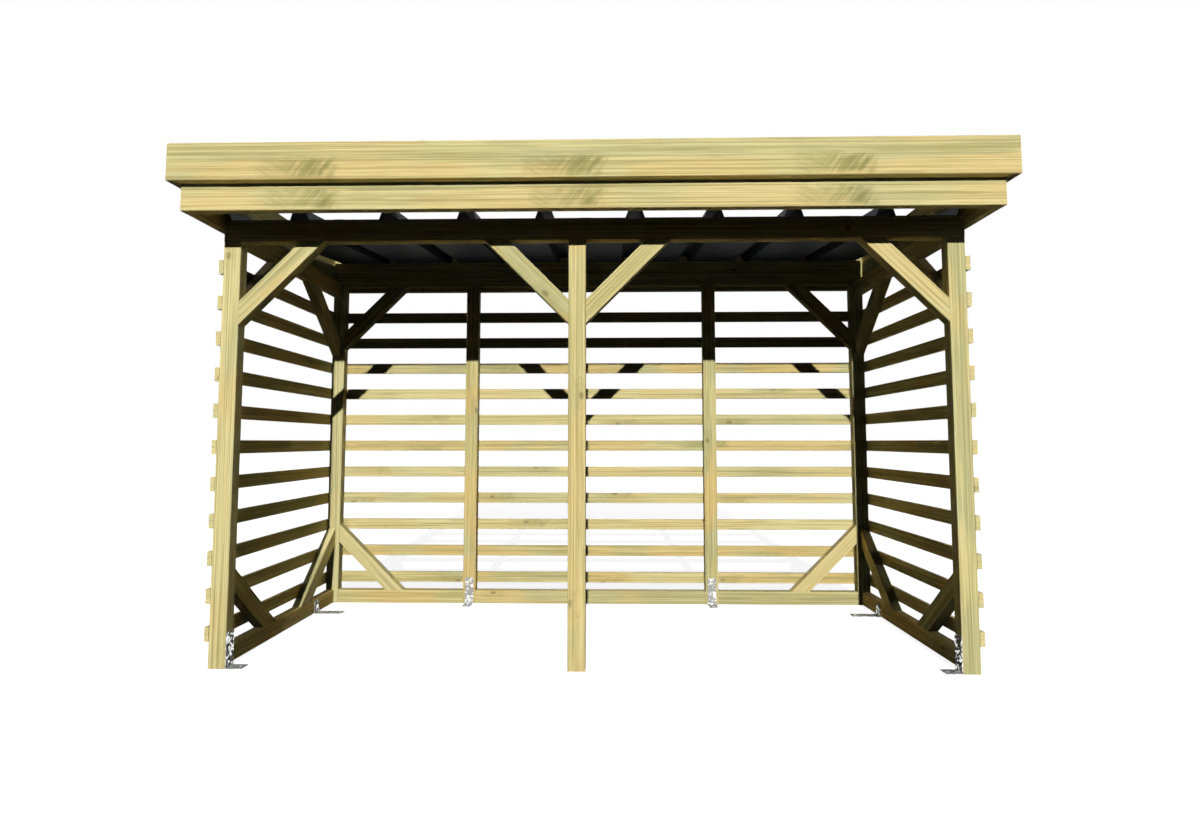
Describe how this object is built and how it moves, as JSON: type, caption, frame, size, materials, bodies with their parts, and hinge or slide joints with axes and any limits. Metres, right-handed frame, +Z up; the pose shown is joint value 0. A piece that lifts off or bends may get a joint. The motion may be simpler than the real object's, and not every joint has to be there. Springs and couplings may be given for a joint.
{
  "type": "firewood shelter",
  "caption": "Open-fronted timber firewood shelter with slatted sides and back, braced posts, a low profiled sheet roof and a two-board fascia.",
  "frame": {"origin": "on the ground under the middle of the roof fascia", "axes": "+Z up, +X to the right seen from the open front, +Y from the open front towards the back wall"},
  "size_m": [3.136, 1.276, 2],
  "materials": {
    "frame_timber": "planed, pressure treated, matt",
    "slat_timber": "planed, pressure treated, matt",
    "fascia_timber": "planed, pressure treated, matt",
    "roof_metal": "matt black coating",
    "zinc_plate": "galvanised"
  },
  "bodies": {
    "root": {"front_left_post": "frame_timber", "front_centre_post": "frame_timber", "front_right_post": "frame_timber", "rear_left_post": "frame_timber", "rear_right_post": "frame_timber", "rear_left_stud": "frame_timber", "rear_right_stud": "frame_timber", "front_beam": "frame_timber", "rear_beam": "frame_timber", "left_top_rail": "frame_timber", "right_top_rail": "frame_timber", "left_bottom_rail": "frame_timber", "right_bottom_rail": "frame_timber", "rear_bottom_rail": "frame_timber", "front_braces": "frame_timber", "rear_top_braces": "frame_timber", "rear_bottom_braces": "frame_timber", "left_braces": "frame_timber", "right_braces": "frame_timber", "left_slats": "slat_timber", "right_slats": "slat_timber", "rear_slats": "slat_timber", "roof_sheet_1": "roof_metal", "roof_sheet_2": "roof_metal", "roof_sheet_3": "roof_metal", "roof_sheet_4": "roof_metal", "lower_fascia_front": "fascia_timber", "lower_fascia_rear": "fascia_timber", "lower_fascia_left": "fascia_timber", "lower_fascia_right": "fascia_timber", "upper_fascia_front": "fascia_timber", "upper_fascia_rear": "fascia_timber", "upper_fascia_left": "fascia_timber", "upper_fascia_right": "fascia_timber", "bracket_front_left": "zinc_plate", "bracket_front_right": "zinc_plate", "bracket_stud_left": "zinc_plate", "bracket_stud_right": "zinc_plate", "bracket_side_left": "zinc_plate", "bracket_side_right": "zinc_plate"}
  },
  "joints": []
}
